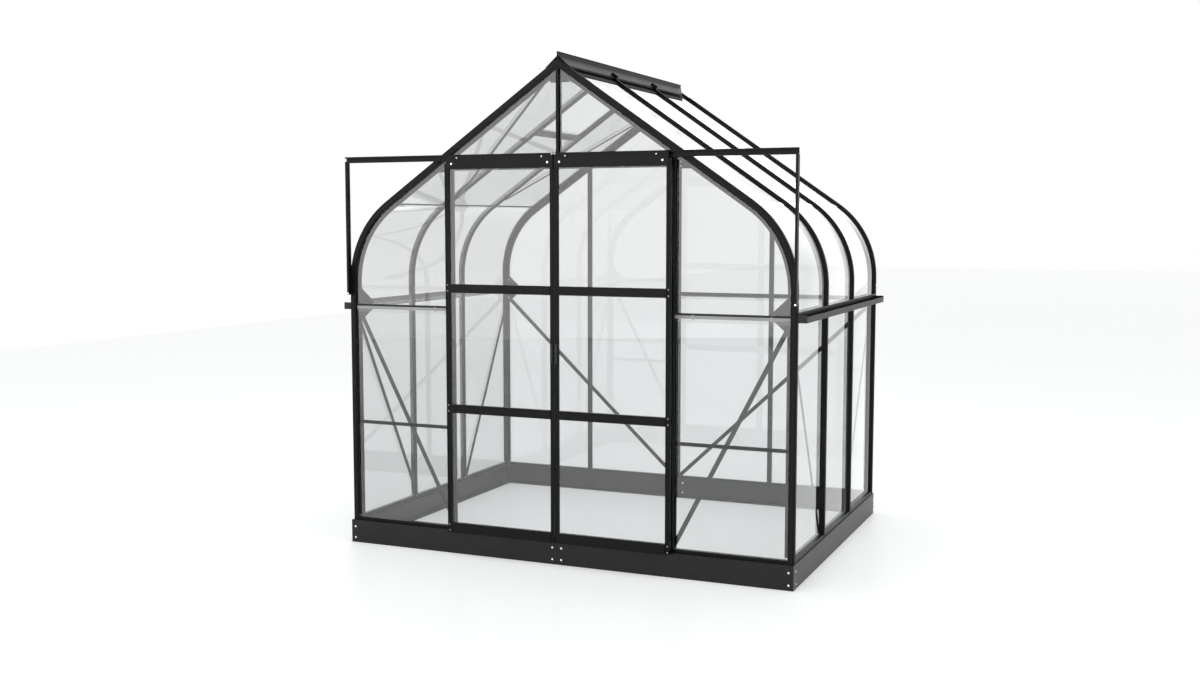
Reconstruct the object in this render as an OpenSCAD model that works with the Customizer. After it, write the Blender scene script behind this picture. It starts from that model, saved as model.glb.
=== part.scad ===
// Greenhouse with curved eaves, two sliding door leaves and one roof window.
// X runs across the front, -Y is the front, Z is up; the origin is on the ground under the middle.

/* [House] */
// Width over the side faces of the base frame
house_w = 2570; // [2300:1:3200]
// Depth over the front and back faces of the base frame
house_d = 1904; // [1500:1:2600]
// Height at which the walls start to curve in
bend_h = 1473; // [1400:1:1700]
// Slope of the roof in degrees
roof_slope = 34.8; // [31:0.1:38]
// Outer radius of the curved eaves
bend_r = 540; // [300:1:600]
// Distance from the base side face in to the outer face of the wall bars
side_inset = 5; // [0:0.5:12]
// Distance from the base front face back to the front face of the gable bars
gable_inset = 18; // [14:0.5:24]

/* [Base] */
// Height of the base frame
base_h = 127; // [90:1:220]
// Width of the top and bottom flanges of the base channel
base_flange = 52; // [48:1:70]
// Sheet thickness of the base channel
base_t = 3; // [2:0.5:5]
// Height of the sills that the glass stands on
sill_h = 18; // [10:1:30]
// Thickness of the sills, front to back
sill_t = 28; // [26:1:32]

/* [Bars] */
// Side of the square corner bars, and depth of the glazing bars from outer to inner face
bar_depth = 32; // [30:1:40]
// Width of the rib that shows between two panes
rib_w = 14; // [10:1:18]
// Width of the flange behind the panes
flange_w = 28; // [22:1:36]
// Thickness of the flange behind the panes
flange_t = 4; // [3:0.5:6]

/* [Glass] */
// Thickness of the glass
glass_t = 3; // [3:0.5:5]
// Distance from the outer face of the side bars in to the glass
side_glass_in = 22; // [14:1:24]
// Distance from the front face of the gable bars back to the glass
gable_glass_in = 13; // [10:1:18]
// Height of the joint between the wall glass and the curved glass
eave_h = 1340; // [1250:1:1400]
// Distance down the slope from the ridge line to the joint of roof glass and curved glass
roof_joint = 1250; // [1150:1:1270]
// Gap left between neighbouring panes and bars
pane_gap = 1; // [0.5:0.5:3]

/* [Ridge and gutters] */
// Half width of the ridge body
ridge_half = 26; // [20:1:36]
// Depth of the ridge body under the slope line
ridge_depth = 62; // [50:1:90]
// Distance down the slope that the ridge cap reaches
cap_reach = 78; // [60:1:110]
// Thickness of the ridge cap
cap_t = 6; // [4:0.5:10]
// Clearance between the ridge cap and the bars under it
cap_seat = 0.1; // [0.05:0.05:0.3]
// Height of the fin above the ridge line
fin_h = 40; // [20:1:60]
// Thickness of the fin on the ridge
fin_t = 8; // [5:0.5:14]
// Width of the gutters
gutter_w = 49; // [36:1:60]
// Height of the wall of the gutter that lies against the bars
gutter_h = 50; // [40:1:70]
// Height of the outer wall of the gutter
gutter_lip_h = 30; // [20:1:40]
// Wall thickness of the gutters
gutter_t = 3; // [2:0.5:5]
// Height of the underside of the gutters
gutter_z = 1322; // [1280:1:1350]

/* [Doorway] */
// Distance from the middle to the outer edge of each jamb flange
jamb_out = 655; // [640:1:700]
// Width of the jamb flange
jamb_w = 30; // [24:1:36]
// Distance from the outer edge of the jamb flange in to the jamb rib
jamb_rib_in = 9; // [6:0.5:12]
// Distance that the jamb ribs stand proud of the gable bars
jamb_proud = 10; // [8:0.5:12]
// Distance from the rafters down to the underside of the header, at the jambs
header_drop = 66; // [62:1:90]
// Height of the header over the doorway
header_h = 84; // [60:1:84]
// Thickness of the header
header_t = 14; // [8:1:18]

/* [Door track] */
// Height of the underside of the door track over the underside of the header
track_up = 49; // [46:1:52]
// Height of the door track
track_h = 33; // [30:1:40]
// Depth of the door track, front to back
track_d = 18; // [16:1:24]
// Wall thickness of the door track
track_t = 3; // [2:0.5:4]
// Height of the two front lips of the track
track_lip = 8; // [5:0.5:9]
// Width of the upright stays at the ends of the track
stay_w = 13; // [8:1:20]
// Height of the lower end of the stays
stay_z = 1405; // [1300:1:1500]

/* [Door leaves] */
// Gap between the two closed leaves
leaf_gap = 6; // [6:0.5:10]
// Distance from the middle to the outer edge of a closed leaf
leaf_out = 645; // [600:1:650]
// Height of the lower edge of the leaves
leaf_z = 123; // [110:1:160]
// Width of the meeting stiles
meet_stile_w = 20; // [16:1:40]
// Width of the outer stiles
outer_stile_w = 26; // [20:1:50]
// Distance from the base front face out to the front of the rails
leaf_front = 30; // [28:0.5:34]
// Depth of the leaves, front to back
leaf_depth = 22; // [18:0.5:24]
// Distance that the stiles stand behind the front of the rails
stile_back = 5; // [2:0.5:8]
// Height of the lower edge of the leaf header over the underside of the doorway header
leaf_header_up = 5; // [0:1:10]
// Height of the leaf header
leaf_header_h = 74; // [50:1:90]
// Thickness of the leaf header
leaf_header_t = 10; // [6:0.5:13]
// Distance from the middle to the outer end of the leaf header
leaf_header_out = 632; // [590:1:640]
// Height of the lower edge of the lower middle rail
low_rail_z = 781; // [600:1:900]
// Height of the lower edge of the upper middle rail
high_rail_z = 1432; // [1200:1:1600]
// Height of the middle rails
mid_rail_h = 46; // [30:1:70]
// Height of the bottom rail
bottom_rail_h = 54; // [40:1:90]
// Radius of the rollers
roller_r = 12.5; // [10:0.5:13]
// Running gap under the rollers
roller_gap = 0.3; // [0.2:0.1:0.6]
// Distance from the middle to the inner roller of each leaf
roller_in = 67; // [50:1:120]
// Distance from the middle to the outer roller of each leaf
roller_out = 568; // [450:1:580]
// Radius of the roller axles
axle_r = 3; // [2:0.5:4]
// Height of the middle of the handles
handle_z = 1127; // [900:1:1300]
// Length of the handles
handle_l = 102; // [60:1:160]
// Width of the handles
handle_w = 12; // [8:1:14]
// Distance that the handles stand out from the stiles
handle_out = 9; // [6:0.5:12]

/* [Inside bracing] */
// Width of the flat braces
brace_w = 24; // [10:1:30]
// Thickness of the flat braces and plates
brace_t = 3; // [2:0.5:5]
// Height of the upper ends of the wall and gable braces
brace_top_z = 1285; // [1200:1:1320]
// Height of the lower ends of the braces above the base frame
brace_foot_up = 25; // [18:1:70]
// Distance down the slope from the ridge line to the foot of the roof braces
roof_brace_foot = 1175; // [1050:1:1220]
// Height of the lower edge of the low rails beside the doorway
low_bar_z = 679; // [500:1:900]
// Height of the rails inside the gables
gable_rail_h = 19; // [12:1:30]
// Height of the lower edge of the rail inside the back gable
back_rail_z = 1333; // [1250:1:1380]
// Distance from the middle to the outer back uprights
back_upright_x = 626; // [500:1:700]
// Width of the flange of the middle back upright
back_middle_w = 37; // [30:1:44]

/* [Roof window] */
// Distance down the slope from the ridge line to the lower edge of the roof window
window_s = 560; // [480:1:640]
// Width of the roof window frame bars
window_bar = 24; // [16:1:34]
// Thickness of the roof window frame
window_t = 16; // [12:1:22]
// Length of the casement stay hanging under the roof window
window_stay_l = 190; // [120:1:260]

/* [Hidden] */

frame_colour = "#2b2c2d";
plastic_colour = "#151617";
glass_colour = [0.82, 0.88, 0.87, 0.4];

bays = 3;                                   // glass bays along each side
arc_steps = 18;                             // edges along a curved pane outline
round_fn = 96;                              // fineness of the round eaves in a preview
bend_lap = 2;                               // lap of the straight parts over the bend
bend_seam = 0.03;                           // the bend is this much thinner all round

half_w = house_w / 2;
half_d = house_d / 2;
wall_x = half_w - side_inset;               // outer face of the wall bars
gable_y = half_d - gable_inset;             // outer face of the gable bars
frame_z = base_h;                           // the bars stand on the base
glass_z = base_h + sill_h;                  // the glass stands on the sills

turn = 90 - roof_slope;                     // angle of the curved eaves
apex_h = tidy(bend_h + bend_r * tan(turn / 2) + wall_x * tan(roof_slope));   // where the slopes meet
bend_x = wall_x - bend_r;
slope_l = tidy(wall_x / cos(roof_slope) - bend_r * tan(turn / 2));   // straight length of a roof slope

corner_in_x = wall_x - bar_depth;
corner_in_y = gable_y - bar_depth;
bay_l = 2 * (gable_y - bar_depth / 2) / bays;
side_bar_y = [for (i = [1 : bays - 1]) -gable_y + bar_depth / 2 + i * bay_l];

brace_foot_z = base_h + brace_foot_up;
header_z = tidy(apex_h - jamb_out * tan(roof_slope) - bar_depth / cos(roof_slope) - header_drop);
track_z = header_z + track_up;
leaf_header_z = header_z + leaf_header_up;

gable_glass_y = gable_y - gable_glass_in;   // outer face of the gable glass
plate_y = corner_in_y - brace_t;            // the flat braces and plates lie against the bars
plate_x = corner_in_x - brace_t;
flange_y = gable_glass_y - glass_t;         // the panes lie against the flanges
flange_x = wall_x - side_glass_in - glass_t;

track_front = half_d + 10;                  // front face of the door track
leaf_front_y = -half_d - leaf_front;
stile_front_y = leaf_front_y + stile_back;
leaf_back_y = leaf_front_y + leaf_depth;
leaf_in = leaf_gap / 2;
stile_top_z = track_z - 10;
roller_z = track_z + track_t + roller_gap + roller_r;
door_glass_y = leaf_front_y + 13;

// ---------------------------------------------------------------- helpers

// Rounded to a hundredth of a millimetre
function tidy(v) = round(v * 100) / 100;

// Points of the gable outline, d inside the outer faces of the bars
function outline(d) = concat(
    [[wall_x - d, 0]],
    [for (i = [0 : arc_steps]) [bend_x + (bend_r - d) * cos(i * turn / arc_steps),
                                bend_h + (bend_r - d) * sin(i * turn / arc_steps)]],
    [[0, apex_h - d / cos(roof_slope)]],
    [for (i = [arc_steps : -1 : 0]) [-bend_x - (bend_r - d) * cos(i * turn / arc_steps),
                                     bend_h + (bend_r - d) * sin(i * turn / arc_steps)]],
    [[-wall_x + d, 0]]
);

// A flat shape in the X-Z plane, given thickness from y towards +Y
module upright_plate(y, t) {
    translate([0, y + t, 0]) rotate([90, 0, 0]) linear_extrude(t) children();
}

// A section swept up the right wall, round the eave and up the slope.
// In the section, x = 0 is the outer face and y runs along the house.
// The straight parts lap over the ends of the bend, which is a hair thinner.
module bent(z0, s_top) {
    translate([wall_x, 0, z0]) linear_extrude(bend_h + bend_lap - z0) children();
    translate([bend_x, 0, bend_h]) rotate([90, 0, 0]) rotate_extrude(angle = turn, $fn = round_fn)
        translate([bend_r, 0]) mirror([0, 1]) offset(delta = -bend_seam) children();
    translate([bend_x, 0, bend_h]) rotate([0, -turn, 0]) translate([bend_r, 0, -bend_lap])
        linear_extrude(slope_l + bend_lap - s_top) children();
}

// Places children on the right roof slope: x down the slope from the ridge line, z outwards
module on_slope() {
    translate([0, 0, apex_h]) rotate([0, roof_slope, 0]) children();
}

// Children for the right side as they are, for the left side mirrored
module side_of(right) {
    if (right) children();
    else mirror([1, 0, 0]) children();
}

// Children for the back as they are, for the front mirrored
module end_of(back) {
    if (back) children();
    else mirror([0, 1, 0]) children();
}

// A flat strip of width w between two points in the plane
module strip(a, b, w) {
    d = b - a;
    translate(a) rotate(atan2(d.y, d.x)) translate([0, -w / 2]) square([norm(d), w]);
}

// ---------------------------------------------------------------- base frame

// Channel along the front or back half
module base_half(back, right) {
    color(frame_colour) end_of(back) side_of(right) difference() {
        translate([0, half_d - base_flange, 0]) cube([half_w, base_flange, base_h]);
        translate([-1, half_d - base_flange - 1, base_t])
            cube([half_w - base_t + 1, base_flange - base_t + 1, base_h - 2 * base_t]);
    }
}

// Channel along one side, between the front and back channels
module base_side(right) {
    l = 2 * (half_d - base_flange);
    color(frame_colour) side_of(right) difference() {
        translate([half_w - base_flange, -l / 2, 0]) cube([base_flange, l, base_h]);
        translate([half_w - base_flange - 1, -l / 2 - 1, base_t])
            cube([base_flange - base_t + 1, l + 2, base_h - 2 * base_t]);
    }
}

// Sills under the fixed glass
module sills() {
    color(frame_colour) {
        for (right = [false, true]) side_of(right) {
            translate([jamb_out, -gable_y, frame_z]) cube([corner_in_x - jamb_out, sill_t, sill_h]);
            for (i = [0 : bays - 1])
                translate([wall_x - sill_t, -gable_y + bar_depth / 2 + i * bay_l + side_start(i), frame_z])
                    cube([sill_t, bay_l - side_start(i) - side_start(bays - 1 - i), sill_h]);
        }
        back_sills();
    }
}

// Distance from the middle of a bay's front bar to the edge of that bar
function side_start(i) = i == 0 ? bar_depth / 2 : flange_w / 2;

// Spaces between the bars of the back gable
back_spans = [
    [-corner_in_x, -back_upright_x - flange_w / 2],
    [-back_upright_x + flange_w / 2, -back_middle_w / 2],
    [back_middle_w / 2, back_upright_x - flange_w / 2],
    [back_upright_x + flange_w / 2, corner_in_x]
];

// Sills of the back gable, between its uprights
module back_sills() {
    for (e = back_spans) translate([e[0], gable_y - sill_t, frame_z]) cube([e[1] - e[0], sill_t, sill_h]);
}

// ---------------------------------------------------------------- bars

// Square corner bar, one curved piece from the base to the ridge line
module corner_bar_piece(back, right) {
    color(frame_colour) end_of(back) side_of(right) difference() {
        bent(frame_z, -bar_depth) translate([-bar_depth, gable_y - bar_depth]) square(bar_depth);
        translate([-2 * bar_depth, 0, apex_h - 4 * bar_depth]) cube([2 * bar_depth, house_d, 8 * bar_depth]);
    }
}

// Section of a glazing bar: a rib that shows between the panes and a flange behind them
module bar_section(w) {
    translate([-bar_depth, -rib_w / 2]) square([bar_depth, rib_w]);
    translate([-side_glass_in - glass_t - flange_t, -w / 2]) square([flange_t, w]);
}

// Glazing bar of a side, one curved piece from the base to the ridge
module side_bar(right, i) {
    color(frame_colour) side_of(right) difference() {
        translate([0, side_bar_y[i], 0]) bent(frame_z, 0) bar_section(flange_w);
        translate([-ridge_half, -half_d, apex_h - 4 * bar_depth])
            cube([2 * ridge_half, house_d, 8 * bar_depth]);
    }
}

// Section of the ridge body, between the bars of the two slopes
module ridge_body_section() {
    top = apex_h + cap_seat + 1;
    drop = ridge_half * tan(roof_slope);
    polygon([
        [-ridge_half, apex_h - ridge_depth], [ridge_half, apex_h - ridge_depth],
        [ridge_half, top - drop], [0, top], [-ridge_half, top - drop]
    ]);
}

// Section of the ridge cap, over the ends of the bars, with the fin on top
module ridge_cap_section() {
    foot = apex_h + cap_seat;
    reach_x = cap_reach * cos(roof_slope);
    reach_z = cap_reach * sin(roof_slope);
    rise = cap_t / cos(roof_slope);
    neck = foot + rise - fin_t / 2 * tan(roof_slope);
    polygon([
        [0, foot], [reach_x, foot - reach_z], [reach_x, foot - reach_z + rise],
        [fin_t / 2, neck], [fin_t / 2, apex_h + fin_h], [-fin_t / 2, apex_h + fin_h], [-fin_t / 2, neck],
        [-reach_x, foot - reach_z + rise], [-reach_x, foot - reach_z]
    ]);
}

module ridge() {
    cap_end = gable_y - 8;
    color(frame_colour) {
        upright_plate(-plate_y, 2 * plate_y) ridge_body_section();
        upright_plate(-cap_end, 2 * cap_end) ridge_cap_section();
    }
}

// Section of the right gutter, open at the top
module gutter_section() {
    difference() {
        translate([wall_x, gutter_z]) square([gutter_w, gutter_h]);
        translate([wall_x + gutter_t, gutter_z + gutter_t]) square([gutter_w - 2 * gutter_t, gutter_h]);
        translate([wall_x + gutter_t, gutter_z + gutter_lip_h]) square([gutter_w, gutter_h]);
    }
}

module gutter(right) {
    gutter_l = 2 * (gable_y - 12);
    color(frame_colour) side_of(right) upright_plate(-gutter_l / 2, gutter_l) gutter_section();
}

// ---------------------------------------------------------------- front gable

// Jamb beside the doorway, up to the rafter
module door_jamb(right) {
    top_d = bar_depth + 1;
    color(frame_colour) side_of(right) intersection() {
        union() {
            translate([jamb_out - jamb_w, -flange_y, frame_z]) cube([jamb_w, flange_y - corner_in_y, apex_h]);
            translate([jamb_out - jamb_rib_in - rib_w, -gable_y - jamb_proud, frame_z])
                cube([rib_w, jamb_proud + gable_glass_in + glass_t, apex_h]);
        }
        upright_plate(-half_d, half_d) polygon(outline(top_d));
    }
}

// Header over the doorway, behind the glass
module door_header() {
    x = jamb_out - jamb_w;
    color(frame_colour) translate([-x, -flange_y, header_z]) cube([2 * x, header_t, header_h]);
}

// Track that the leaves hang on, the full width of the house
module door_track() {
    slot_z = track_z + track_lip;
    slot_h = track_h - 2 * track_lip;
    color(frame_colour) difference() {
        translate([-half_w, -track_front, track_z]) cube([house_w, track_d, track_h]);
        translate([-half_w - 1, -track_front + track_t, track_z + track_t])
            cube([house_w + 2, track_d - 2 * track_t, track_h - 2 * track_t]);
        translate([-half_w - 1, -track_front - 1, slot_z]) cube([house_w + 2, track_t + 2, slot_h]);
    }
}

// Upright stays between the ends of the track and the corner bars
module track_stays() {
    color(frame_colour) for (right = [false, true]) side_of(right)
        translate([half_w - stay_w, -track_front, stay_z])
            cube([stay_w, track_front - gable_y, track_z - stay_z]);
}

// Upright in the middle of the gable, from the header to the ridge
module front_upright() {
    z = header_z + header_h;
    top_d = bar_depth + 1;
    color(frame_colour) intersection() {
        union() {
            translate([-flange_w / 2, -flange_y, z]) cube([flange_w, header_t, apex_h - z]);
            translate([-rib_w / 2, -gable_y, track_z + track_h + 1])
                cube([rib_w, gable_glass_in + glass_t, apex_h - z]);
        }
        upright_plate(-half_d, half_d) polygon(outline(top_d));
    }
}

// Low rails beside the doorway, behind the glass
module front_low_rails() {
    color(frame_colour) for (right = [false, true]) side_of(right)
        translate([jamb_out, -flange_y, low_bar_z]) cube([corner_in_x - jamb_out, flange_t, gable_rail_h]);
}

// ---------------------------------------------------------------- back gable

// Upright of the back gable, from the base to the rafters
module back_upright(x, w) {
    top_d = bar_depth + 1;
    color(frame_colour) intersection() {
        union() {
            translate([x - w / 2, corner_in_y, frame_z]) cube([w, flange_y - corner_in_y, apex_h]);
            translate([x - rib_w / 2, flange_y, frame_z]) cube([rib_w, gable_y - flange_y, apex_h]);
        }
        upright_plate(0, house_d) polygon(outline(top_d));
    }
}

// Rail across the back gable, between the uprights and behind the glass
module back_rail() {
    color(frame_colour) for (e = back_spans)
        translate([e[0], flange_y - flange_t, back_rail_z]) cube([e[1] - e[0], flange_t, gable_rail_h]);
}

// ---------------------------------------------------------------- bracing

// Braces of a gable, from the eave plates down to foot_x
module gable_braces(foot_x) {
    foot = [foot_x, brace_foot_z];
    head = [corner_in_x - 22, brace_top_z];
    color(frame_colour) for (right = [false, true]) side_of(right)
        upright_plate(plate_y, brace_t) difference() {
            strip(foot, head, brace_w);
            eave_plate();
        }
}

// Braces of the end bays of the side walls
module wall_braces() {
    head = [plate_y + 8, brace_top_z];
    foot = [side_bar_y[bays - 2], brace_foot_z];
    color(frame_colour) for (right = [false, true]) side_of(right) for (back = [false, true]) end_of(back)
        translate([plate_x, 0, 0]) rotate([90, 0, 90]) linear_extrude(brace_t) intersection() {
            strip(foot, head, brace_w);
            square([plate_y, apex_h]);
        }
}

// Braces of the end bays of the roof
module roof_braces() {
    head = [75, plate_y + 8];
    foot = [roof_brace_foot, side_bar_y[bays - 2]];
    color(frame_colour) for (right = [false, true]) side_of(right) for (back = [false, true]) end_of(back)
        on_slope() translate([0, 0, -bar_depth - brace_t]) linear_extrude(brace_t) intersection() {
            strip(head, foot, brace_w);
            square([slope_l, plate_y]);
        }
}

eave_plate_in = corner_in_x - 93;           // inner edge of the eave plates

// Plate at the right eave
module eave_plate() {
    z = brace_top_z;
    polygon([
        [corner_in_x + 4, z - 11], [corner_in_x + 4, z + 165], [corner_in_x - 10, z + 165],
        [eave_plate_in, z + 88], [eave_plate_in, z + 42], [corner_in_x - 34, z - 11]
    ]);
}

// Plate under the ridge
module ridge_plate() {
    z = apex_h - 116;
    intersection() {
        polygon([[-50, z], [50, z], [60, z + 17], [60, apex_h], [-60, apex_h], [-60, z + 17]]);
        polygon(outline(side_glass_in + glass_t + 1));
    }
}

// Plates that join the bars of the back gable at the eaves and at the ridge
module corner_plates() {
    color(frame_colour) upright_plate(plate_y, brace_t) {
        eave_plate();
        mirror([1, 0]) eave_plate();
        ridge_plate();
    }
}

// ---------------------------------------------------------------- glass

// Flat pane in the right side wall, one for each bay
module wall_glass(right) {
    color(glass_colour) side_of(right) for (i = [0 : bays - 1])
        translate([flange_x, bay_start(i), glass_z])
            cube([glass_t, bay_end(i) - bay_start(i), eave_h - glass_z - pane_gap]);
}

// Curved pane round the eave, one for each bay
module curved_glass(right) {
    color(glass_colour) side_of(right) for (i = [0 : bays - 1])
        bent(eave_h, roof_joint) translate([-side_glass_in - glass_t, bay_start(i)])
            square([glass_t, bay_end(i) - bay_start(i)]);
}

// Flat pane on the roof, one for each bay; the bay with the window has a short one
module roof_glass(right) {
    color(glass_colour) side_of(right) for (i = [0 : bays - 1]) {
        s0 = !right && i == 1 ? window_s + pane_gap : pane_top;
        on_slope() translate([s0, bay_start(i), -side_glass_in - glass_t])
            cube([roof_joint - pane_gap - s0, bay_end(i) - bay_start(i), glass_t]);
    }
}

// Distance down the slope from the ridge line to the upper edge of the roof panes
pane_top = (ridge_half + side_glass_in * sin(roof_slope)) / cos(roof_slope) + 4;

// Edges of the panes of bay i along the house
function bay_start(i) =
    -gable_y + bar_depth / 2 + i * bay_l + (i == 0 ? bar_depth / 2 : rib_w / 2) + pane_gap;
function bay_end(i) = -bay_start(bays - 1 - i);

// Panes of the front gable: two at each side of the doorway and two over it
module front_glass() {
    jamb_x = jamb_out - jamb_rib_in + pane_gap;
    edge_x = corner_in_x - pane_gap;
    over_z = header_z + header_h / 2;
    color(glass_colour) {
        for (right = [false, true]) side_of(right) {
            translate([jamb_x, -gable_glass_y, glass_z])
                cube([edge_x - jamb_x, glass_t, eave_h - glass_z - pane_gap]);
            gable_pane(jamb_x, wall_x, eave_h);
            gable_pane(rib_w / 2 + pane_gap, jamb_out - jamb_rib_in - rib_w - pane_gap, over_z);
        }
    }
}

// Pane of the front gable from x0 to x1 and from z0 up to the rafter
module gable_pane(x0, x1, z0) {
    upright_plate(-gable_glass_y, glass_t) intersection() {
        translate([x0, z0]) square([x1 - x0, apex_h]);
        polygon(outline(bar_depth + pane_gap));
    }
}

// Panes of the back gable, two in each bay
module back_glass() {
    spans = [
        [rib_w / 2 + pane_gap, back_upright_x - rib_w / 2 - pane_gap],
        [back_upright_x + rib_w / 2 + pane_gap, corner_in_x - pane_gap]
    ];
    color(glass_colour) mirror([0, 1, 0]) for (right = [false, true]) side_of(right) for (s = spans) {
        translate([s[0], -gable_glass_y, glass_z]) cube([s[1] - s[0], glass_t, eave_h - glass_z - pane_gap]);
        gable_pane(s[0], s[1] + (s[1] > back_upright_x ? bar_depth : 0), eave_h);
    }
}

// ---------------------------------------------------------------- roof window

window_s0 = cap_reach + 4;                  // upper edge of the window, just under the ridge cap
window_y0 = side_bar_y[0] + rib_w / 2 + 3;
window_y1 = side_bar_y[1] - rib_w / 2 - 3;
window_z = -side_glass_in - glass_t;        // the window lies on the bar flanges

module window_frame() {
    l = window_s - window_s0;
    w = window_y1 - window_y0;
    color(frame_colour) side_of(false) on_slope() translate([window_s0, window_y0, window_z]) difference() {
        cube([l, w, window_t]);
        translate([window_bar, window_bar, -1]) cube([l - 2 * window_bar, w - 2 * window_bar, window_t + 2]);
    }
}

module window_glass() {
    l = window_s - window_s0 - 2 * window_bar;
    w = window_y1 - window_y0 - 2 * window_bar;
    color(glass_colour) side_of(false) on_slope()
        translate([window_s0 + window_bar, window_y0 + window_bar, window_z + 5]) cube([l, w, glass_t]);
}

// Casement stay lying under the window, hung from its lower bar
module window_stay() {
    color(frame_colour) side_of(false) on_slope()
        translate([window_s - window_stay_l, (window_y0 + window_y1) / 2 - 6, window_z - brace_t])
            cube([window_stay_l, 12, brace_t]);
}

// ---------------------------------------------------------------- door leaves

// Frame of the right leaf
module leaf_frame() {
    rail_in = leaf_in + meet_stile_w;
    rail_out = leaf_out - outer_stile_w;
    groove_x = leaf_out - outer_stile_w / 2;
    color(frame_colour) difference() {
        union() {
            translate([leaf_in, stile_front_y, leaf_z])
                cube([meet_stile_w, leaf_back_y - stile_front_y, stile_top_z - leaf_z]);
            translate([rail_out, stile_front_y, leaf_z])
                cube([outer_stile_w, leaf_back_y - stile_front_y, stile_top_z - leaf_z]);
            for (r = [[leaf_z, bottom_rail_h], [low_rail_z, mid_rail_h], [high_rail_z, mid_rail_h]])
                translate([rail_in, leaf_front_y, r[0]]) cube([rail_out - rail_in, leaf_depth, r[1]]);
            translate([leaf_in + 1, leaf_front_y, leaf_header_z])
                cube([leaf_header_out - leaf_in - 1, leaf_header_t, leaf_header_h]);
            translate([rail_in, leaf_front_y, leaf_header_z])
                cube([rail_out - rail_in, leaf_depth, stile_top_z - leaf_header_z]);
        }
        translate([groove_x - 1.5, stile_front_y - 1, leaf_z - 1]) cube([3, 3, leaf_header_z - leaf_z]);
    }
}

// The three panes of the right leaf
module leaf_glass() {
    rail_in = leaf_in + meet_stile_w;
    rail_out = leaf_out - outer_stile_w;
    panes = [
        [leaf_z + bottom_rail_h, low_rail_z],
        [low_rail_z + mid_rail_h, high_rail_z],
        [high_rail_z + mid_rail_h, leaf_header_z]
    ];
    color(glass_colour) for (p = panes)
        translate([rail_in, door_glass_y, p[0]]) cube([rail_out - rail_in, glass_t, p[1] - p[0]]);
}

// Rollers of the right leaf with their axles, and its handle
module leaf_fittings() {
    wheel_y = -track_front + track_t + 0.5;
    wheel_w = track_d - 2 * track_t - 1;
    axle_y = leaf_front_y + leaf_header_t;
    handle_x = leaf_in + (meet_stile_w - handle_w) / 2;
    color(plastic_colour) {
        for (x = [roller_in, roller_out]) translate([x, 0, roller_z]) rotate([-90, 0, 0]) {
            translate([0, 0, wheel_y]) cylinder(h = wheel_w, r = roller_r, $fn = 48);
            translate([0, 0, axle_y]) cylinder(h = wheel_y - axle_y + 1, r = axle_r, $fn = 24);
        }
        translate([handle_x, stile_front_y - handle_out, handle_z - handle_l / 2])
            cube([handle_w, handle_out, handle_l]);
    }
}

// ---------------------------------------------------------------- nodes

base_half(false, false);  // base_front_left
base_half(false, true);  // base_front_right
base_half(true, false);  // base_back_left
base_half(true, true);  // base_back_right
base_side(false);  // base_left
base_side(true);  // base_right
sills();
corner_bar_piece(false, false);  // corner_bar_front_left
corner_bar_piece(false, true);  // corner_bar_front_right
corner_bar_piece(true, false);  // corner_bar_back_left
corner_bar_piece(true, true);  // corner_bar_back_right
side_bar(false, 0);  // side_bar_left_front
side_bar(false, 1);  // side_bar_left_back
side_bar(true, 0);  // side_bar_right_front
side_bar(true, 1);  // side_bar_right_back
ridge();
gutter(false);  // gutter_left
gutter(true);  // gutter_right
door_jamb(false);  // door_jamb_left
door_jamb(true);  // door_jamb_right
door_header();
door_track();
track_stays();
front_upright();
back_upright(-back_upright_x, flange_w);  // back_upright_left
back_upright(0, back_middle_w);  // back_upright_middle
back_upright(back_upright_x, flange_w);  // back_upright_right
back_rail();
front_low_rails();
mirror([0, 1, 0]) gable_braces(jamb_out - jamb_w / 2);  // gable_braces_front
gable_braces(brace_w);  // gable_braces_back
wall_braces();
roof_braces();
mirror([0, 1, 0]) corner_plates();  // corner_plates_front
corner_plates();  // corner_plates_back
wall_glass(false);  // wall_glass_left
wall_glass(true);  // wall_glass_right
curved_glass(false);  // curved_glass_left
curved_glass(true);  // curved_glass_right
roof_glass(false);  // roof_glass_left
roof_glass(true);  // roof_glass_right
front_glass();
back_glass();
window_frame();
window_glass();
window_stay();
side_of(false) leaf_frame();  // door_left_frame
side_of(false) leaf_glass();  // door_left_glass
side_of(false) leaf_fittings();  // door_left_fittings
leaf_frame();  // door_right_frame
leaf_glass();  // door_right_glass
leaf_fittings();  // door_right_fittings
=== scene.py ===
import math

import bpy
from mathutils import Matrix, Vector


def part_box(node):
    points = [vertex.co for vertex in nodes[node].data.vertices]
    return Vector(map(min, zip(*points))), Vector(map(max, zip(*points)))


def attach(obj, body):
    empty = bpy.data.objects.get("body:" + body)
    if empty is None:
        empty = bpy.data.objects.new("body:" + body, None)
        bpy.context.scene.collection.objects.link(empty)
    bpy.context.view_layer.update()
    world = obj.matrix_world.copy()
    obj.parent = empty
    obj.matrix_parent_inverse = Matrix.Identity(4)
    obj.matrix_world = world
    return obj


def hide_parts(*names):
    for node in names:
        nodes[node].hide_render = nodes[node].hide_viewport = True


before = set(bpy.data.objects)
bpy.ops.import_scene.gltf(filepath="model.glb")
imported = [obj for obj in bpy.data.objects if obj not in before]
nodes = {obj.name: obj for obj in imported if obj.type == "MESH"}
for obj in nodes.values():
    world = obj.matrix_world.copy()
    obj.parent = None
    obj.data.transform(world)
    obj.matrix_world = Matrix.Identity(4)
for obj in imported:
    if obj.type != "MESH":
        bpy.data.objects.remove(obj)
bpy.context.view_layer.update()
print("frame loaded:", len(nodes), "nodes")

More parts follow.
